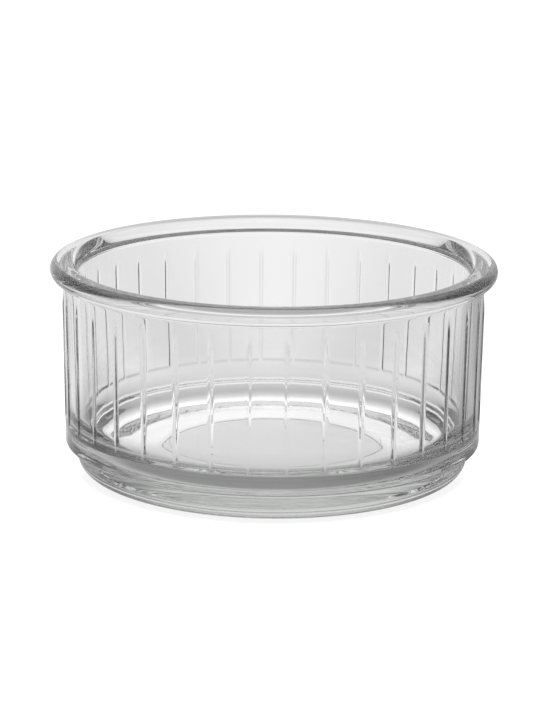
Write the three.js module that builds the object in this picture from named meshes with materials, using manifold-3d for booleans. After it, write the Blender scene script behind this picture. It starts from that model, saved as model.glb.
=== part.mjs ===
// A round ramekin, pressed in one piece from clear glass: a stepped foot with a hollowed
// underside, an upright wall with thin ribs round its outside, and a rolled rim.
// Millimetres, +Z up, with the origin on the table at the centre of the foot.
import * as THREE from "three";
import { mergeVertices } from "three/addons/utils/BufferGeometryUtils.js";
import Module from "manifold-3d";

const { degToRad } = THREE.MathUtils;

// Overall size
const RIM_RADIUS = 50; // outside of the rolled rim
const HEIGHT = 48; // table to the top of the rim

// Wall and rim
const RIM_OVERHANG = 2.85; // rim beyond the outside of the wall
const RIM_ROLL = 1.9; // rounded outer edge of the rim
const RIM_LIP = 2.2; // rounded inner edge of the rim
const RIM_FILLET = 0.9; // inside corner under the overhang
const WALL_THICKNESS = 3.15; // at the rim, where the wall is thinnest
const OUTER_DRAFT = degToRad(1); // lean of the outside, wider at the top
const INNER_DRAFT = degToRad(2); // lean of the inside, wider at the top

// Foot
const FOOT_HEIGHT = 6.4; // table to the step under the wall
const FOOT_STEP = 2.45; // foot in from the wall, at the step
const FOOT_DRAFT = degToRad(6); // lean of the foot's side, wider at the top
const FOOT_EDGE_RADIUS = 3.8; // rounded lower edge of the foot
const STEP_FILLET = 0.7; // inside corner of the step
const SHOULDER_RADIUS = 0.7; // rounded lower edge of the wall, over the step
const HOLLOW_RADIUS = 25; // shallow round hollow in the underside
const HOLLOW_DEPTH = 0.3; // of that hollow, up from the ring that stands on the table
const HOLLOW_EDGE_WIDTH = 0.5; // slope round the hollow

// Floor
const FLOOR_HEIGHT = 4.8; // table to the inside of the floor
const FLOOR_CORNER_RADIUS = 11.2; // inside corner between floor and wall

// Ribs, and the smooth band that they stand on
const RIB_COUNT = 36;
const RIB_HEIGHT = 0.25; // crest beyond the panels between the ribs
const RIB_WIDTH = 1.2; // where a rib meets the panels
const BAND_HEIGHT = 0.3; // band beyond the same panels
const BAND_STEP = 0.6; // height over which the band steps back to the panels
const LOWER_BAND = 4.4; // band between the shoulder and the ribs
const UPPER_BAND = 3.6; // plain wall between the ribs and the rim's underside
const FIRST_RIB_ANGLE = degToRad(3.75); // from the front, -Y, towards +X

// Facets
const ARC_STEP = degToRad(22.5); // turn of one facet of a rounded edge
const FACETS_PER_RIB = 2; // facets of the turned body from one rib to the next
const RIB_FACETS = 24; // sides of the round bar that makes a rib
const RIB_END_FACETS = 3; // rings of facets on the rounded end of that bar

const wasm = await Module();
wasm.setup();

// Sizes that follow from those above
const rimCentre = new THREE.Vector2(RIM_RADIUS - RIM_ROLL, HEIGHT - RIM_ROLL);
const lipCentre = new THREE.Vector2(RIM_RADIUS - RIM_OVERHANG - WALL_THICKNESS + RIM_LIP, HEIGHT - RIM_LIP);
const wallLean = new THREE.Vector2(Math.sin(OUTER_DRAFT), Math.cos(OUTER_DRAFT));
const wallOut = new THREE.Vector2(Math.cos(OUTER_DRAFT), -Math.sin(OUTER_DRAFT));
const wallTop = new THREE.Vector2(RIM_RADIUS - RIM_OVERHANG, rimCentre.y);
const shoulderHeight = FOOT_HEIGHT + SHOULDER_RADIUS;
const rimFilletCentre = underRim();
const ribBottom = shoulderHeight + LOWER_BAND;
const ribTop = rimFilletCentre.y - UPPER_BAND;

// Radius of the outside of the panels between the ribs, at a height.
function wallRadius(height) {
  return wallTop.x + (height - wallTop.y) * Math.tan(OUTER_DRAFT);
}

// Radius of the band under the ribs, at a height.
function bandRadius(height) {
  return wallRadius(height) + BAND_HEIGHT;
}

// Centre of the fillet that touches both the wall and the underside of the rolled rim.
function underRim() {
  const start = wallTop.clone().addScaledVector(wallOut, RIM_FILLET).sub(rimCentre);
  const along = start.dot(wallLean);
  const reach = RIM_ROLL + RIM_FILLET;
  const drop = along + Math.sqrt(along ** 2 - start.lengthSq() + reach ** 2);
  return start.addScaledVector(wallLean, -drop).add(rimCentre);
}

// Sideways distance between the centres of two roundings, on either side of the leaning
// straight face that touches them both. radii is their sum and rise the height between them.
function leaningReach(radii, rise, draft) {
  return (radii + rise * Math.sin(draft)) / Math.cos(draft);
}

// Points of a round stretch of the section, from one angle to another.
function arc(centre, radius, from, to) {
  const curve = new THREE.EllipseCurve(centre.x, centre.y, radius, radius, from, to, to < from);
  return curve.getPoints(Math.ceil(Math.abs(to - from) / ARC_STEP));
}

// The hollowed underside, from the axis out to the ring that stands on the table.
function undersideSection() {
  return [
    new THREE.Vector2(0, HOLLOW_DEPTH),
    new THREE.Vector2(HOLLOW_RADIUS, HOLLOW_DEPTH),
    new THREE.Vector2(HOLLOW_RADIUS + HOLLOW_EDGE_WIDTH, 0),
  ];
}

// The foot and the shoulder over its step, from the table up to the band.
function footSection() {
  const shoulderReach = bandRadius(shoulderHeight);
  const stepCentre = new THREE.Vector2(shoulderReach - FOOT_STEP + STEP_FILLET, FOOT_HEIGHT - STEP_FILLET);
  const shoulderCentre = new THREE.Vector2(shoulderReach - SHOULDER_RADIUS, shoulderHeight);
  const inset = leaningReach(STEP_FILLET + FOOT_EDGE_RADIUS, stepCentre.y - FOOT_EDGE_RADIUS, FOOT_DRAFT);
  const edgeCentre = new THREE.Vector2(stepCentre.x - inset, FOOT_EDGE_RADIUS);
  return [
    ...undersideSection(),
    ...arc(edgeCentre, FOOT_EDGE_RADIUS, -Math.PI / 2, -FOOT_DRAFT),
    ...arc(stepCentre, STEP_FILLET, Math.PI - FOOT_DRAFT, Math.PI / 2),
    ...arc(shoulderCentre, SHOULDER_RADIUS, -Math.PI / 2, -OUTER_DRAFT),
  ];
}

// The band's upper edge, where it steps back to the panels.
function bandSection() {
  const stepTop = ribBottom + BAND_STEP;
  return [
    new THREE.Vector2(bandRadius(ribBottom), ribBottom),
    new THREE.Vector2(wallRadius(stepTop), stepTop),
  ];
}

// The overhang's fillet and the rim, from the outside of the wall over to its inside.
function rimSection() {
  const touch = rimFilletCentre.clone().sub(rimCentre).angle() - 2 * Math.PI;
  return [
    ...arc(rimFilletCentre, RIM_FILLET, Math.PI - OUTER_DRAFT, touch + Math.PI),
    ...arc(rimCentre, RIM_ROLL, touch, 0).slice(1),
    ...arc(rimCentre, RIM_ROLL, 0, Math.PI / 2).slice(1),
    ...arc(lipCentre, RIM_LIP, Math.PI / 2, Math.PI - INNER_DRAFT),
  ];
}

// The inside: the wall's lean ends in the rounded corner of the flat floor.
function floorSection() {
  const cornerHeight = FLOOR_HEIGHT + FLOOR_CORNER_RADIUS;
  const inset = leaningReach(FLOOR_CORNER_RADIUS + RIM_LIP, lipCentre.y - cornerHeight, INNER_DRAFT);
  const corner = new THREE.Vector2(lipCentre.x - inset, cornerHeight);
  return [
    ...arc(corner, FLOOR_CORNER_RADIUS, -INNER_DRAFT, -Math.PI / 2),
    new THREE.Vector2(0, FLOOR_HEIGHT),
  ];
}

// The round body, turned from its half section.
function turnedBody() {
  const section = [...footSection(), ...bandSection(), ...rimSection(), ...floorSection()];
  const body = new THREE.LatheGeometry(section, RIB_COUNT * FACETS_PER_RIB, FIRST_RIB_ANGLE);
  return body.rotateX(Math.PI / 2);
}

// A round bar that leans with the wall, set into it so that only one rib's crest stands out.
function ribBar(angle) {
  const middle = (ribBottom + ribTop) / 2;
  const radius = (RIB_WIDTH ** 2 / 4 + RIB_HEIGHT ** 2) / (2 * RIB_HEIGHT);
  const length = (ribTop - ribBottom) / Math.cos(OUTER_DRAFT);
  const bar = new THREE.CapsuleGeometry(radius, length, RIB_END_FACETS, RIB_FACETS);
  bar.rotateX(Math.PI / 2);
  bar.rotateY(OUTER_DRAFT);
  bar.translate(wallRadius(middle) + RIB_HEIGHT - radius, 0, middle);
  return bar.rotateZ(angle - Math.PI / 2);
}

// A closed three.js geometry as a solid that others can be joined to.
function solidOf(geometry) {
  geometry.deleteAttribute("normal");
  geometry.deleteAttribute("uv");
  const merged = mergeVertices(geometry);
  return new wasm.Manifold(
    new wasm.Mesh({
      numProp: 3,
      vertProperties: merged.getAttribute("position").array,
      triVerts: new Uint32Array(merged.index.array),
    }),
  );
}

// A joined solid as a three.js geometry.
function geometryOf(solid) {
  const { vertProperties, triVerts } = solid.getMesh();
  const geometry = new THREE.BufferGeometry();
  geometry.setAttribute("position", new THREE.BufferAttribute(vertProperties, 3));
  geometry.setIndex(new THREE.BufferAttribute(triVerts, 1));
  geometry.computeVertexNormals();
  return geometry;
}

// The whole dish: the turned body with a ring of ribs on its wall.
function dishGeometry() {
  let dish = solidOf(turnedBody());
  for (let rib = 0; rib < RIB_COUNT; rib += 1) {
    const angle = FIRST_RIB_ANGLE + (rib * 2 * Math.PI) / RIB_COUNT;
    dish = dish.add(solidOf(ribBar(angle)));
  }
  return geometryOf(dish);
}

const clearGlass = new THREE.MeshStandardMaterial({
  name: "clear_glass",
  color: 0xe6eaea,
  roughness: 0.05,
  metalness: 0,
  transparent: true,
  opacity: 0.4,
});

const glassDish = new THREE.Mesh(dishGeometry(), clearGlass);
glassDish.name = "glass_dish";

const ramekin = new THREE.Group();
ramekin.name = "ramekin";
ramekin.add(glassDish);

export default ramekin;
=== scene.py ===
"""Dresses the solid model of a clear pressed-glass ramekin and sets it on a white studio floor."""

from math import atan2, ceil, cos, pi, radians, sin, sqrt, tan

import bmesh
import bpy
from bpy.props import FloatProperty, FloatVectorProperty, IntProperty, PointerProperty
from mathutils import Matrix, Vector


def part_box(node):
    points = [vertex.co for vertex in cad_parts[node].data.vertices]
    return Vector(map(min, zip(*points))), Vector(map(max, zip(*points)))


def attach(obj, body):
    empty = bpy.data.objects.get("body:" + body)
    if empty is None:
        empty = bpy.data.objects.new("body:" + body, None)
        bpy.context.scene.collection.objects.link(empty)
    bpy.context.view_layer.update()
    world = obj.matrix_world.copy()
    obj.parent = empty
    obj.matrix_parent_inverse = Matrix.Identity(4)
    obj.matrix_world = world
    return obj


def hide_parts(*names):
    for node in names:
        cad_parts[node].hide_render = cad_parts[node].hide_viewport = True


bl_info = {
    "name": "Pressed Glass Ramekin",
    "version": (1, 0, 0),
    "blender": (4, 5, 0),
    "location": "View3D > Sidebar > Ramekin",
    "description": "Models a ribbed glass ramekin over its solid model, with a studio stage",
    "category": "Object",
}

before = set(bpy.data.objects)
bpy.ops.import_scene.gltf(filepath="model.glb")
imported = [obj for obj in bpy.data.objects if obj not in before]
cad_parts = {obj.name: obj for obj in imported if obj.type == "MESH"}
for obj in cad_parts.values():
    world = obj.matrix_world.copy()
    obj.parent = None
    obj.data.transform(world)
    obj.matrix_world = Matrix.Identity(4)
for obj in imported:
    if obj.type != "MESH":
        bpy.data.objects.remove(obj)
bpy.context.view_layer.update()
_, DISH_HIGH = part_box("glass_dish")

MILLIMETRE = 0.001
PHOTO_HEIGHT = 720  # pixels on the long side of the frame
SENSOR = 36.0  # millimetres on the long side of the frame

ARC_STEP = radians(7.5)  # turn between two points of a rounded edge
ARC_STRIDE = 0.7 * MILLIMETRE  # most distance between two such points
EDGE_HOLD = 0.3 * MILLIMETRE  # straight rows that hold a rounded edge in place
SHORT_RUN = 1.2 * MILLIMETRE  # straight stretches up to this length get no such rows
RIB_COLUMNS = (0.0, 0.2, 0.4, 0.6, 0.9, 1.7, 2.9)  # places across a rib and its panel, in millimetres
EASE_ROWS = 4  # rows over which a soft step runs
MERGE_DISTANCE = 0.002 * MILLIMETRE

POLISH_NOISE = (0.35, 0.75)  # part of the noise over which the polish goes from best to worst
LIGHT_BOUNCES = 32  # most turns of a ray of light in the thick glass
CAMERA_CLIP = (0.01, 20.0)  # nearest and farthest that the camera sees, in metres


def length(name, description, millimetres):
    """A size that a user may change, given in millimetres."""
    return FloatProperty(
        name=name,
        description=description,
        default=millimetres * MILLIMETRE,
        min=0.0,
        precision=5,
        subtype="DISTANCE",
        unit="LENGTH",
    )


def angle(name, description, degrees):
    """An angle that a user may change, given in degrees."""
    return FloatProperty(
        name=name,
        description=description,
        default=radians(degrees),
        subtype="ANGLE",
        unit="ROTATION",
    )


def colour(name, description, red, green, blue):
    """A colour that a user may change."""
    return FloatVectorProperty(
        name=name,
        description=description,
        default=(red, green, blue),
        min=0.0,
        max=1.0,
        size=3,
        subtype="COLOR",
    )


def amount(name, description, value):
    """A plain number that a user may change."""
    return FloatProperty(name=name, description=description, default=value, min=0.0)


class DishSizes(bpy.types.PropertyGroup):
    """Sizes of the glass dish."""

    rim_radius: length("Rim radius", "Outside of the rolled rim", DISH_HIGH.x / MILLIMETRE)
    height: length("Height", "Table to the top of the rim", DISH_HIGH.z / MILLIMETRE)
    rim_overhang: length("Rim overhang", "Rim beyond the outside of the wall", 2.85)
    rim_roll: length("Rim roll", "Radius of the rim's outer edge", 1.9)
    rim_lip: length("Rim lip", "Radius of the rim's inner edge", 2.2)
    rim_fillet: length("Rim fillet", "Inside corner under the overhang", 0.9)
    wall_thickness: length("Wall thickness", "Wall at the rim, where it is thinnest", 3.15)
    outer_draft: angle("Outer draft", "Lean of the wall's outside, wider at the top", 1.0)
    inner_draft: angle("Inner draft", "Lean of the wall's inside, wider at the top", 2.0)
    foot_height: length("Foot height", "Table to the step under the wall", 6.4)
    foot_step: length("Foot step", "Foot in from the wall, at the step", 2.45)
    foot_draft: angle("Foot draft", "Lean of the foot's side, wider at the top", 6.0)
    foot_edge: length("Foot edge", "Radius of the foot's lower edge", 3.8)
    shoulder_round: length("Shoulder rounding", "Radius of the wall's lower edge, over the step", 0.7)
    step_fillet: length("Step fillet", "Inside corner of the step", 0.7)
    floor_height: length("Floor height", "Table to the inside of the floor", 4.8)
    floor_corner: length("Floor corner", "Radius between the floor and the wall", 11.2)
    hollow_radius: length("Hollow radius", "Radius of the hollow in the underside", 25.0)
    hollow_depth: length("Hollow depth", "Depth of that hollow", 0.3)
    hollow_edge: length("Hollow edge", "Width of the slope round that hollow", 0.25)
    underside_round: length("Underside rounding", "Rounding of the underside's corners", 0.08)
    rib_count: IntProperty(name="Ribs", description="Ribs round the wall", default=36, min=3)
    rib_height: length("Rib height", "Ribs and lower band beyond the panels between the ribs", 0.25)
    rib_width: length("Rib width", "Width of a rib where it meets the panels", 1.2)
    rib_step: length("Rib step", "Height over which the lower band steps back to the panels", 1.4)
    rib_fade: length("Rib fade", "Height over which a rib's upper end runs out", 4.0)
    upper_band: length("Upper band", "Smooth wall between the rim and the ribs", 1.6)
    lower_band: length("Lower band", "Smooth band between the ribs and the shoulder", 4.4)
    first_rib: angle("First rib", "Turn of a rib from the front of the dish", 3.75)


class GlassFinish(bpy.types.PropertyGroup):
    """Finish of the glass."""

    tint: colour("Tint", "Colour of the glass", 0.93, 0.93, 0.93)
    depth_tint: colour("Depth tint", "Colour that thick glass tends to", 0.92, 0.925, 0.92)
    depth_density: amount("Depth density", "Strength of the depth tint, per metre", 40.0)
    refraction: amount("Refraction", "Refractive index of the glass", 1.5)
    roughness: amount("Roughness", "Most roughness of the polished surface", 0.02)
    wave_size: length("Wave size", "Distance between the faint waves of the mould", 9.0)
    wave_height: length("Wave height", "Height of those waves", 0.012)


class StageLook(bpy.types.PropertyGroup):
    """Floor, backdrop, light and camera, with the light and shade painted into the floor's glow as the
    glass shows it.
    """

    floor_size: length("Floor size", "Side of the square floor", 6000.0)
    floor_white: colour("Floor colour", "Colour of the floor", 0.9, 0.9, 0.9)
    floor_glow: amount("Floor glow", "Share of the floor that stays white in shadow", 0.85)
    floor_gap: length("Floor gap", "Floor under the foot, so that the two faces don't meet", 0.05)
    # On the floor these paint shade into its glow as the glass shows it; in the world they set the room's
    # light.
    back_keep: amount("Kept behind", "White left by a reflection in the glass, for light from behind", 0.92)
    side_keep: amount("Kept aside", "White left by a reflection in the glass, for other light", 0.5)
    right_keep: amount("Kept at right", "Share of that white left in light from the unlit right", 0.6)
    least_white: amount("Least white", "White left after many such reflections", 0.1)
    side_full: length("Side distance", "Distance at which the floor counts as behind or at the right", 45.0)
    side_lean: amount("Side lean", "Lean to one side over the others at which all light is from there", 0.6)
    # Painted sheen: the floor's glow, as the glass shows it, is dimmer in steep light.
    steep_shade: amount("Steep shade", "Brightness of the floor's sheen in steep light", 0.5)
    steep_light: angle("Steep light", "Slope of that light", 45.0)
    shallow_light: angle("Shallow light", "Slope of light in which the floor's sheen is full", 22.0)
    # Painted light and shade in the floor's glow, seen only in the glass: a bright ring under the dish's
    # corner, a bright halo round it, and a darker middle.
    ring_white: amount("Ring light", "Brightness of the light gathered under the floor's corner", 1.4)
    ring_inner: length("Ring inside", "Inner radius of that ring of light", 26.0)
    ring_outer: length("Ring outside", "Outer radius of that ring of light", 44.5)
    ring_fade: length("Ring fade", "Width of the soft edges of that ring", 3.0)
    ring_ends: length("Ring ends", "Distance before and behind the axis over which the ring comes up", 15.0)
    hollow_shade: amount("Hollow shade", "Brightness of the floor inside that ring", 0.92)
    halo_white: amount("Halo light", "Brightness of the floor round that ring", 1.2)
    halo_start: length("Halo start", "Distance from the axis at which that light starts to fade", 50.0)
    halo_end: length("Halo end", "Distance from the axis at which it is gone", 70.0)
    # Painted light: bright spokes in the floor's glow, seen only in the glass.
    spoke_count: IntProperty(
        name="Bright spokes",
        description="Bright directions round the floor, seen in the glass",
        default=12,
        min=0,
    )
    spoke_white: amount("Between spokes", "Brightness of the floor between those directions", 0.87)
    spoke_start: length("Spokes start", "Distance from the axis at which the spokes start to show", 50.0)
    spoke_full: length("Spokes full", "Distance from the axis at which they are in full", 95.0)
    room_grey: amount("Room brightness", "Brightness of the room between backdrop and ceiling", 0.4)
    room_low: angle("Backdrop top", "Height over the horizon to which the backdrop is white", 14.0)
    room_start: angle("Room start", "Height over the horizon at which the grey room starts", 26.0)
    room_end: angle("Room end", "Height over the horizon at which the grey room ends", 30.0)
    room_high: angle("Ceiling", "Height over the horizon from which the ceiling is white", 42.0)
    lamp_size: length("Lamp size", "Side of the square soft light", 900.0)
    lamp_height: length("Lamp height", "Height of the soft light", 1300.0)
    lamp_power: FloatProperty(
        name="Lamp power",
        description="Power of the soft light",
        default=30.0,
        min=0.0,
        unit="POWER",
    )
    camera_distance: length("Camera distance", "Camera to the point it looks at", 700.0)
    camera_rise: angle("Camera rise", "Camera over the horizon", 14.47)
    camera_roll: angle("Camera roll", "Turn of the camera about its line of sight", 0.555)
    camera_side: length("Aim aside", "Point looked at, left of the dish's axis", 0.69)
    camera_aim: length("Aim height", "Height of the point that the camera looks at", 24.62)
    camera_focal: amount("Focal length", "Focal length in pixels of the frame", 3107.0)


def arc(centre, radius, start, end):
    """Points of a round stretch of the section, from one angle to another."""
    turn = abs(end - start)
    steps = max(2, ceil(turn / ARC_STEP), ceil(turn * radius / ARC_STRIDE))
    places = [start + (end - start) * step / steps for step in range(steps + 1)]
    return [centre + radius * Vector((cos(place), sin(place))) for place in places]


def rounded(before, corner, after, radius):
    """Points of a small rounding between two straight stretches that meet at a corner."""
    inwards = (before - corner).normalized()
    outwards = (after - corner).normalized()
    half_turn = inwards.angle(outwards) / 2
    centre = corner + (inwards + outwards).normalized() * radius / sin(half_turn)
    first = corner + inwards * radius / tan(half_turn) - centre
    last = corner + outwards * radius / tan(half_turn) - centre
    start = atan2(first.y, first.x)
    sweep = (atan2(last.y, last.x) - start + pi) % (2 * pi) - pi
    return arc(centre, radius, start, start + sweep)


def leaning_reach(radii, rise, draft):
    """Sideways distance between two roundings on either side of a leaning straight face."""
    return (radii + rise * sin(draft)) / cos(draft)


def wall_radius(sizes, height):
    """Radius of the plain wall's outside at a height."""
    top_height = sizes.height - sizes.rim_roll
    return sizes.rim_radius - sizes.rim_overhang + (height - top_height) * tan(sizes.outer_draft)


def band_radius(sizes, height):
    """Radius of the ribs, and of the band that they stand on, at a height."""
    return wall_radius(sizes, height) + sizes.rib_height


def rim_centre(sizes):
    """Centre of the rim's rolled outer edge."""
    return Vector((sizes.rim_radius - sizes.rim_roll, sizes.height - sizes.rim_roll))


def lip_centre(sizes):
    """Centre of the rim's rounded inner edge."""
    inside = sizes.rim_radius - sizes.rim_overhang - sizes.wall_thickness
    return Vector((inside + sizes.rim_lip, sizes.height - sizes.rim_lip))


def under_rim(sizes):
    """Centre of the fillet that touches the wall and the underside of the rolled rim."""
    lean = Vector((sin(sizes.outer_draft), cos(sizes.outer_draft)))
    out = Vector((cos(sizes.outer_draft), -sin(sizes.outer_draft)))
    centre = rim_centre(sizes)
    start = Vector((wall_radius(sizes, centre.y), centre.y)) + out * sizes.rim_fillet - centre
    along = start.dot(lean)
    reach = sizes.rim_roll + sizes.rim_fillet
    drop = along + sqrt(along**2 - start.length_squared + reach**2)
    return centre + start - lean * drop


def shoulder_height(sizes):
    """Height at which the rounded shoulder meets the wall."""
    return sizes.foot_height + sizes.shoulder_round


def rib_ends(sizes):
    """Heights of the lower and upper ends of the ribs."""
    return shoulder_height(sizes) + sizes.lower_band, under_rim(sizes).y - sizes.upper_band


def underside_section(sizes, rest_outer):
    """The hollowed underside, from the axis out to the foot's lower edge."""
    corners = [
        Vector((0.0, sizes.hollow_depth)),
        Vector((sizes.hollow_radius, sizes.hollow_depth)),
        Vector((sizes.hollow_radius + sizes.hollow_edge, 0.0)),
        Vector((rest_outer, 0.0)),
    ]
    points = corners[:1]
    for before, corner, after in zip(corners, corners[1:], corners[2:]):
        points += rounded(before, corner, after, sizes.underside_round)
    return points


def foot_section(sizes):
    """The foot and the shoulder over its step, from the table up to the wall."""
    shoulder = shoulder_height(sizes)
    step_radius = band_radius(sizes, shoulder) - sizes.foot_step + sizes.step_fillet
    step = Vector((step_radius, sizes.foot_height - sizes.step_fillet))
    radii = sizes.step_fillet + sizes.foot_edge
    inset = leaning_reach(radii, step.y - sizes.foot_edge, sizes.foot_draft)
    edge = Vector((step_radius - inset, sizes.foot_edge))
    points = underside_section(sizes, edge.x)
    points += arc(edge, sizes.foot_edge, -pi / 2, -sizes.foot_draft)
    points += arc(step, sizes.step_fillet, pi - sizes.foot_draft, pi / 2)
    centre = Vector((band_radius(sizes, shoulder) - sizes.shoulder_round, shoulder))
    return points + arc(centre, sizes.shoulder_round, -pi / 2, -sizes.outer_draft)


def eased(share):
    """A share from nothing to one, with a soft start and a soft end."""
    return share * share * (3.0 - 2.0 * share)


def wall_rows(sizes):
    """Heights up the wall, each with the share of a rib's height that the wall and its ribs rise there."""
    bottom, top = rib_ends(sizes)
    places = [row / EASE_ROWS for row in range(EASE_ROWS + 1)]
    step = [(bottom + sizes.rib_step * place, 1.0 - eased(place), eased(place)) for place in places]
    fade = [(top - sizes.rib_fade * place, 0.0, eased(place)) for place in places]
    return step + [((bottom + top) / 2, 0.0, 1.0)] + fade[::-1]


def wall_section(sizes):
    """The wall's outside, where the lower band steps back to the panels between the ribs."""
    rows = wall_rows(sizes)
    return [Vector((wall_radius(sizes, row) + share * sizes.rib_height, row)) for row, share, _ in rows]


def rim_section(sizes):
    """The overhang's fillet and the rim, from the wall's outside over to its inside."""
    fillet = under_rim(sizes)
    centre = rim_centre(sizes)
    touch = atan2(fillet.y - centre.y, fillet.x - centre.x)
    points = arc(fillet, sizes.rim_fillet, pi - sizes.outer_draft, touch + pi)
    points += arc(centre, sizes.rim_roll, touch, 0.0)[1:]
    points += arc(centre, sizes.rim_roll, 0.0, pi / 2)[1:]
    points += arc(lip_centre(sizes), sizes.rim_lip, pi / 2, pi - sizes.inner_draft)
    return points


def floor_section(sizes):
    """The inside: the wall's lean ends in the rounded corner of the flat floor."""
    draft = sizes.inner_draft
    lip = lip_centre(sizes)
    corner_height = sizes.floor_height + sizes.floor_corner
    inset = leaning_reach(sizes.floor_corner + sizes.rim_lip, lip.y - corner_height, draft)
    corner = Vector((lip.x - inset, corner_height))
    points = arc(corner, sizes.floor_corner, -draft, -pi / 2)
    return points + [Vector((0.0, sizes.floor_height))]


def half_section(sizes):
    """The dish's whole half section, with rows that hold each rounded edge, but none at the axis."""
    corners = foot_section(sizes) + wall_section(sizes) + rim_section(sizes) + floor_section(sizes)
    points = corners[:1]
    for start, end in zip(corners, corners[1:]):
        run = end - start
        if run.length > SHORT_RUN:
            hold = run.normalized() * EDGE_HOLD
            points += [row for row in (start + hold, end - hold) if row.x > SHORT_RUN]
        points.append(end)
    return points


def start_vertex(name, place):
    """A new object in edit mode, with a plane that is merged to the one vertex it grows from."""
    bpy.ops.object.select_all(action="DESELECT")
    bpy.ops.mesh.primitive_plane_add(size=MILLIMETRE, location=(0.0, 0.0, 0.0))
    piece = bpy.context.object
    piece.name = name
    piece.data.name = name
    bpy.ops.object.mode_set(mode="EDIT")
    bpy.ops.mesh.select_mode(type="VERT")
    bpy.ops.mesh.select_all(action="SELECT")
    bpy.ops.mesh.merge(type="CENTER")
    bpy.ops.transform.translate(value=place)
    return piece


def select_vertices(piece, wanted):
    """Selects the vertices of a piece in edit mode that a test on their place picks out."""
    mesh = bmesh.from_edit_mesh(piece.data)
    bpy.ops.mesh.select_all(action="DESELECT")
    picked = 0
    for vertex in mesh.verts:
        vertex.select = wanted(vertex.co)
        picked += vertex.select
    mesh.select_flush(True)
    bmesh.update_edit_mesh(piece.data)
    if not picked:
        raise RuntimeError(f"no vertex of {piece.name} is where one is expected")


def draw_section(points, turn):
    """Extrudes the start vertex from point to point of a section, in an upright plane."""
    for start, end in zip(points, points[1:]):
        step = end - start
        move = (step.x * cos(turn), step.x * sin(turn), step.y)
        bpy.ops.mesh.extrude_region_move(TRANSFORM_OT_translate={"value": move})


def sector_columns(sizes):
    """Angles of the columns from one rib's middle to the next, closer together at the ribs."""
    bottom, top = rib_ends(sizes)
    radius = wall_radius(sizes, (bottom + top) / 2)
    pitch = 2 * pi / sizes.rib_count
    near = [place * MILLIMETRE / radius for place in RIB_COLUMNS]
    far = [pitch - place for place in reversed(near)]
    return near + [pitch / 2] + far


def spin_sector(columns):
    """Spins the section column by column from one rib's middle to the next."""
    bpy.ops.mesh.select_all(action="SELECT")
    for before, after in zip(columns, columns[1:]):
        turn = after - before
        bpy.ops.mesh.spin(steps=1, angle=turn, center=(0.0, 0.0, 0.0), axis=(0.0, 0.0, 1.0))


def rib_height(sizes, across):
    """Height of a rib at a distance from its middle: a smooth hump that meets the wall."""
    share = max(0.0, 1.0 - across / (sizes.rib_width / 2))
    return sizes.rib_height * eased(share)


def rib_spans(sizes):
    """Stretches of the wall, each with the share of its full height that a rib rises there."""
    rows = wall_rows(sizes)
    full = [row for row, _, share in rows if share == 1.0]
    slopes = [(row, row, share) for row, _, share in rows if 0.0 < share < 1.0]
    return [(min(full), max(full), 1.0)] + slopes


def column_test(start, column, inside, low, high):
    """A test for places on one column of the wall's outside, between two heights."""

    def on_column(place):
        turn = (atan2(place.y, place.x) - start + pi) % (2 * pi) - pi
        beside = abs(abs(turn) - column) * inside < MERGE_DISTANCE
        level = low - MERGE_DISTANCE < place.z < high + MERGE_DISTANCE
        return beside and level and place.xy.length > inside

    return on_column


def raise_ribs(piece, sizes, start, columns):
    """Draws the columns near both ends of the sector out from the panels, to half a rib at each."""
    bottom, top = rib_ends(sizes)
    radius = wall_radius(sizes, (bottom + top) / 2)
    inside = radius - sizes.wall_thickness / 2
    for column in columns:
        height = rib_height(sizes, min(column, columns[-1] - column) * radius)
        if height <= 0.0:
            continue
        for low, high, share in rib_spans(sizes):
            select_vertices(piece, column_test(start, column, inside, low, high))
            scale = 1.0 + height * share / radius
            bpy.ops.transform.resize(value=(scale, scale, 1.0), center_override=(0.0, 0.0, 0.0))


def repeat_sector(count):
    """Copies the sector round the axis and closes its seams and its poles."""
    bpy.ops.mesh.select_all(action="SELECT")
    bpy.ops.mesh.spin(
        steps=count - 1,
        dupli=True,
        angle=2 * pi * (count - 1) / count,
        center=(0.0, 0.0, 0.0),
        axis=(0.0, 0.0, 1.0),
    )
    bpy.ops.mesh.select_all(action="SELECT")
    bpy.ops.mesh.remove_doubles(threshold=MERGE_DISTANCE)
    bpy.ops.mesh.normals_make_consistent(inside=False)


def node(tree, kind, **values):
    """A new shader node with its named inputs set."""
    made = tree.nodes.new(kind)
    for name, value in values.items():
        made.inputs[name.replace("_", " ")].default_value = value
    return made


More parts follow.
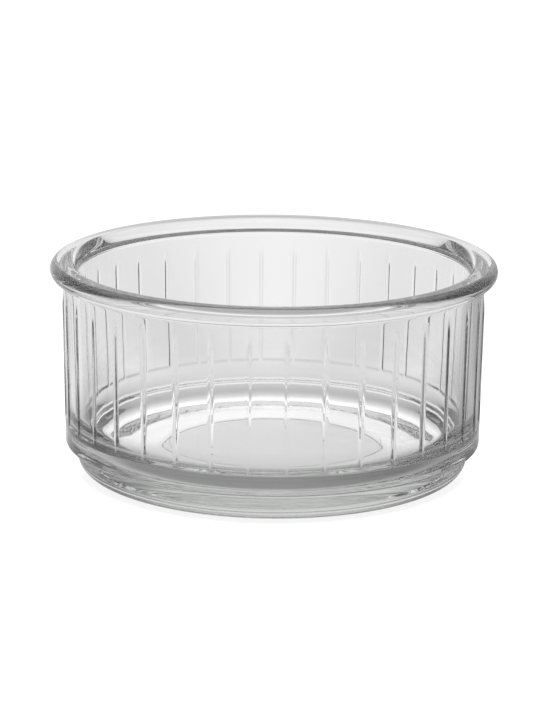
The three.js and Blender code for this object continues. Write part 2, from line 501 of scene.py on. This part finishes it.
def pressed_glass(finish):
    """Clear glass, fire polished, with faint waves from the mould and a slight depth tint."""
    material = bpy.data.materials.new("pressed_glass")
    material.use_nodes = True
    tree = material.node_tree
    surface = tree.nodes["Principled BSDF"]
    output = tree.nodes["Material Output"]
    surface.inputs["Base Color"].default_value = (*finish.tint, 1.0)
    surface.inputs["Transmission Weight"].default_value = 1.0
    surface.inputs["IOR"].default_value = finish.refraction
    place = tree.nodes.new("ShaderNodeTexCoord")
    polish = node(tree, "ShaderNodeTexNoise", Scale=2 / finish.wave_size, Detail=3.0)
    tree.links.new(place.outputs["Object"], polish.inputs["Vector"])
    best, worst = POLISH_NOISE
    gloss = node(tree, "ShaderNodeMapRange", From_Min=best, From_Max=worst, To_Max=finish.roughness)
    tree.links.new(polish.outputs["Fac"], gloss.inputs["Value"])
    tree.links.new(gloss.outputs["Result"], surface.inputs["Roughness"])
    waves = node(tree, "ShaderNodeTexNoise", Scale=1 / finish.wave_size, Detail=1.0)
    tree.links.new(place.outputs["Object"], waves.inputs["Vector"])
    relief = node(tree, "ShaderNodeBump", Strength=1.0, Distance=finish.wave_height)
    tree.links.new(waves.outputs["Fac"], relief.inputs["Height"])
    tree.links.new(relief.outputs["Normal"], surface.inputs["Normal"])
    depth = node(tree, "ShaderNodeVolumeAbsorption", Density=finish.depth_density)
    depth.inputs["Color"].default_value = (*finish.depth_tint, 1.0)
    tree.links.new(depth.outputs["Volume"], output.inputs["Volume"])
    return material


class RAMEKIN_OT_glass_dish(bpy.types.Operator):
    """Model the pressed glass dish: foot, floor, ribbed wall and rolled rim in one piece"""

    bl_idname = "ramekin.glass_dish"
    bl_label = "Glass Dish"
    bl_options = {"REGISTER", "UNDO"}

    def execute(self, context):
        sizes = context.scene.ramekin_sizes
        columns = sector_columns(sizes)
        start = sizes.first_rib - pi / 2
        points = half_section(sizes)
        piece = start_vertex("pressed_dish", (0.0, 0.0, points[0].y))
        draw_section(points, start)
        spin_sector(columns)
        raise_ribs(piece, sizes, start, columns)
        repeat_sector(sizes.rib_count)
        bpy.ops.object.mode_set(mode="OBJECT")
        bpy.ops.object.shade_smooth()
        piece.data.materials.append(pressed_glass(context.scene.ramekin_glass))
        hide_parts("glass_dish")
        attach(piece, "root")
        return {"FINISHED"}


def calculate(tree, operation, *sources):
    """The result of a math node fed by sockets and plain numbers."""
    made = tree.nodes.new("ShaderNodeMath")
    made.operation = operation
    for socket, source in zip(made.inputs, sources):
        if isinstance(source, bpy.types.NodeSocket):
            tree.links.new(source, socket)
        else:
            socket.default_value = source
    return made.outputs[0]


def product(tree, first, *others):
    """The product of several sockets."""
    for other in others:
        first = calculate(tree, "MULTIPLY", first, other)
    return first


def rise(tree, source, start, end):
    """A soft rise from nothing to one, as a socket goes from a start to an end."""
    made = node(tree, "ShaderNodeMapRange", From_Min=start, From_Max=end)
    made.interpolation_type = "SMOOTHSTEP"
    tree.links.new(source, made.inputs["Value"])
    return made.outputs["Result"]


def towards(tree, share, value):
    """One where a share is nothing, and a value where it is full."""
    return calculate(tree, "MULTIPLY_ADD", share, value - 1.0, 1.0)


def axes(tree, kind):
    """The three coordinates of a place or a direction."""
    place = tree.nodes.new("ShaderNodeTexCoord")
    split = tree.nodes.new("ShaderNodeSeparateXYZ")
    tree.links.new(place.outputs[kind], split.inputs["Vector"])
    return split.outputs["X"], split.outputs["Y"], split.outputs["Z"]


def white_left(tree, look, behind, right):
    """White left after reflections inside the glass: most from behind, least from the right."""
    path = tree.nodes.new("ShaderNodeLightPath")
    keep = calculate(tree, "MULTIPLY_ADD", behind, look.back_keep - look.side_keep, look.side_keep)
    keep = product(tree, keep, towards(tree, right, look.right_keep))
    kept = calculate(tree, "POWER", keep, path.outputs["Glossy Depth"])
    return calculate(tree, "MULTIPLY_ADD", kept, 1.0 - look.least_white, look.least_white)


def painted_spoke_light(tree, look, across, along, reach):
    """Painted light on the floor, seen only in the glass: soft bright directions round it, which fade out
    towards the dish.
    """
    turn = calculate(tree, "ARCTAN2", along, across)
    wave = calculate(tree, "COSINE", calculate(tree, "MULTIPLY", turn, look.spoke_count))
    between = calculate(tree, "MULTIPLY_ADD", wave, -0.5, 0.5)
    shown = rise(tree, reach, look.spoke_start, look.spoke_full)
    return towards(tree, product(tree, between, shown), look.spoke_white)


def painted_ring_light(tree, look, along, reach):
    """Painted light that stands for what the dish's thick corner gathers under and round it, and painted
    shade in the middle, seen only in the glass.
    """
    half = look.ring_fade / 2
    inside = rise(tree, reach, look.ring_inner - half, look.ring_inner + half)
    outside = rise(tree, reach, look.ring_outer - half, look.ring_outer + half)
    gone = rise(tree, reach, look.halo_start, look.halo_end)
    behind = rise(tree, along, -look.ring_ends, look.ring_ends)
    ring = product(tree, calculate(tree, "SUBTRACT", inside, outside), behind)
    halo = calculate(tree, "SUBTRACT", outside, gone)
    hollow = calculate(tree, "SUBTRACT", 1.0, inside)
    return product(
        tree,
        towards(tree, ring, look.ring_white),
        towards(tree, halo, look.halo_white),
        towards(tree, hollow, look.hollow_shade),
    )


def painted_floor_sheen(tree, look):
    """Painted sheen in the floor's glow, seen only in the glass: full in shallow light and dimmer in steep
    light.
    """
    weight = tree.nodes.new("ShaderNodeLayerWeight")
    facing = weight.outputs["Facing"]
    steep = rise(tree, facing, 1.0 - sin(look.shallow_light), 1.0 - sin(look.steep_light))
    return towards(tree, steep, look.steep_shade)


def painted_floor_light(tree, look):
    """Painted light and shade of the floor's glow as the glass shows it."""
    across, along, _ = axes(tree, "Object")
    square = calculate(tree, "MULTIPLY_ADD", across, across, product(tree, along, along))
    reach = calculate(tree, "SQRT", square)
    behind = rise(tree, along, 0.0, look.side_full)
    right = rise(tree, across, 0.0, look.side_full)
    return product(
        tree,
        # Painted shade: the glow is darker after each reflection inside the glass, least behind and most at
        # the right.
        white_left(tree, look, behind, right),
        painted_spoke_light(tree, look, across, along, reach),
        painted_ring_light(tree, look, along, reach),
        painted_floor_sheen(tree, look),
    )


def floor_material(look):
    """Pale matt floor that stays white round the dish's soft shadow, and whose glow in the glass carries
    painted light and shade.
    """
    material = bpy.data.materials.new("studio_floor")
    material.use_nodes = True
    tree = material.node_tree
    tree.nodes.remove(tree.nodes["Principled BSDF"])
    matt = tree.nodes.new("ShaderNodeBsdfDiffuse")
    matt.inputs["Color"].default_value = (*look.floor_white, 1.0)
    path = tree.nodes.new("ShaderNodeLightPath")
    camera = path.outputs["Is Camera Ray"]
    glass = calculate(tree, "MAXIMUM", path.outputs["Is Glossy Ray"], path.outputs["Is Transmission Ray"])
    glow = tree.nodes.new("ShaderNodeEmission")
    # Camera rays see plain white; glass rays see the painted light and shade.
    tree.links.new(calculate(tree, "MAXIMUM", camera, painted_floor_light(tree, look)), glow.inputs["Strength"])
    mix = tree.nodes.new("ShaderNodeMixShader")
    tree.links.new(calculate(tree, "MULTIPLY_ADD", camera, look.floor_glow, glass), mix.inputs["Fac"])
    tree.links.new(matt.outputs["BSDF"], mix.inputs[1])
    tree.links.new(glow.outputs["Emission"], mix.inputs[2])
    tree.links.new(mix.outputs["Shader"], tree.nodes["Material Output"].inputs["Surface"])
    return material


def make_floor(look):
    """The square floor, with its middle under the dish."""
    bpy.ops.object.select_all(action="DESELECT")
    bpy.ops.mesh.primitive_plane_add(size=look.floor_size, location=(0.0, 0.0, -look.floor_gap))
    floor = bpy.context.object
    floor.name = "studio_floor"
    floor.data.materials.append(floor_material(look))


def make_world(look):
    """White behind the dish and over it, and a dimmer room between them in reflections."""
    world = bpy.data.worlds.new("studio")
    bpy.context.scene.world = world
    world.use_nodes = True
    tree = world.node_tree
    across, along, up = axes(tree, "Generated")
    backdrop_top = rise(tree, up, sin(look.room_low), sin(look.room_start))
    ceiling = rise(tree, up, sin(look.room_end), sin(look.room_high))
    room = towards(tree, calculate(tree, "SUBTRACT", backdrop_top, ceiling), look.room_grey)
    lean_back = calculate(tree, "SUBTRACT", along, calculate(tree, "ABSOLUTE", across))
    lean_right = calculate(tree, "SUBTRACT", across, calculate(tree, "ABSOLUTE", up))
    behind = rise(tree, lean_back, 0.0, look.side_lean)
    right = rise(tree, lean_right, 0.0, look.side_lean)
    left = white_left(tree, look, behind, right)
    shown = product(tree, room, calculate(tree, "MAXIMUM", left, ceiling))
    background = tree.nodes["Background"]
    background.inputs["Color"].default_value = (1.0, 1.0, 1.0, 1.0)
    tree.links.new(shown, background.inputs["Strength"])
    white = node(tree, "ShaderNodeBackground", Color=(1.0, 1.0, 1.0, 1.0), Strength=1.0)
    path = tree.nodes.new("ShaderNodeLightPath")
    mix = tree.nodes.new("ShaderNodeMixShader")
    tree.links.new(path.outputs["Is Camera Ray"], mix.inputs["Fac"])
    tree.links.new(background.outputs["Background"], mix.inputs[1])
    tree.links.new(white.outputs["Background"], mix.inputs[2])
    tree.links.new(mix.outputs["Shader"], tree.nodes["World Output"].inputs["Surface"])


def make_lamp(look):
    """A soft light straight over the dish."""
    bpy.ops.object.light_add(type="AREA", location=(0.0, 0.0, look.lamp_height))
    lamp = bpy.context.object
    lamp.name = "soft_light"
    lamp.data.size = look.lamp_size
    lamp.data.energy = look.lamp_power
    lamp.visible_glossy = False
    lamp.visible_transmission = False


def make_camera(look):
    """The camera at the photograph's viewing angle."""
    back = Vector((0.0, -cos(look.camera_rise), sin(look.camera_rise)))
    up = Vector((0.0, sin(look.camera_rise), cos(look.camera_rise)))
    right = Vector((1.0, 0.0, 0.0))
    turned_right = cos(look.camera_roll) * right + sin(look.camera_roll) * up
    turned_up = cos(look.camera_roll) * up - sin(look.camera_roll) * right
    aim = Vector((-look.camera_side, 0.0, look.camera_aim))
    turn = Matrix((turned_right, turned_up, back)).transposed().to_euler()
    bpy.ops.object.camera_add(location=aim + back * look.camera_distance, rotation=turn)
    camera = bpy.context.object
    camera.name = "photo_camera"
    camera.data.sensor_width = SENSOR
    camera.data.lens = look.camera_focal * SENSOR / PHOTO_HEIGHT
    camera.data.clip_start, camera.data.clip_end = CAMERA_CLIP
    bpy.context.scene.camera = camera


class RAMEKIN_OT_stage(bpy.types.Operator):
    """Set the floor, the soft light, the backdrop and the camera round the dish"""

    bl_idname = "ramekin.stage"
    bl_label = "Stage"
    bl_options = {"REGISTER", "UNDO"}

    def execute(self, context):
        look = context.scene.ramekin_stage
        make_floor(look)
        make_world(look)
        make_lamp(look)
        make_camera(look)
        scene = context.scene
        scene.view_settings.view_transform = "Standard"
        scene.cycles.max_bounces = LIGHT_BOUNCES
        scene.cycles.transmission_bounces = LIGHT_BOUNCES
        scene.cycles.glossy_bounces = LIGHT_BOUNCES
        return {"FINISHED"}


class RAMEKIN_PT_panel(bpy.types.Panel):
    """Lists the sizes, the finish and the steps that make the ramekin"""

    bl_idname = "RAMEKIN_PT_panel"
    bl_label = "Ramekin"
    bl_space_type = "VIEW_3D"
    bl_region_type = "UI"
    bl_category = "Ramekin"

    def draw(self, context):
        scene = context.scene
        steps = (
            ("ramekin.glass_dish", (scene.ramekin_sizes, scene.ramekin_glass)),
            ("ramekin.stage", (scene.ramekin_stage,)),
        )
        for operator, groups in steps:
            box = self.layout.box()
            for group in groups:
                for setting in group.__annotations__:
                    box.prop(group, setting)
            box.operator(operator)


CLASSES = (
    DishSizes,
    GlassFinish,
    StageLook,
    RAMEKIN_OT_glass_dish,
    RAMEKIN_OT_stage,
    RAMEKIN_PT_panel,
)


def register():
    """Adds the classes and the settings."""
    for entry in CLASSES:
        bpy.utils.register_class(entry)
    bpy.types.Scene.ramekin_sizes = PointerProperty(type=DishSizes)
    bpy.types.Scene.ramekin_glass = PointerProperty(type=GlassFinish)
    bpy.types.Scene.ramekin_stage = PointerProperty(type=StageLook)


def unregister():
    """Takes the settings and the classes away."""
    del bpy.types.Scene.ramekin_stage
    del bpy.types.Scene.ramekin_glass
    del bpy.types.Scene.ramekin_sizes
    for entry in reversed(CLASSES):
        bpy.utils.unregister_class(entry)


def main():
    """Makes the dish and its stage."""
    register()
    bpy.ops.ramekin.glass_dish()
    bpy.ops.ramekin.stage()


if __name__ == "__main__":
    main()
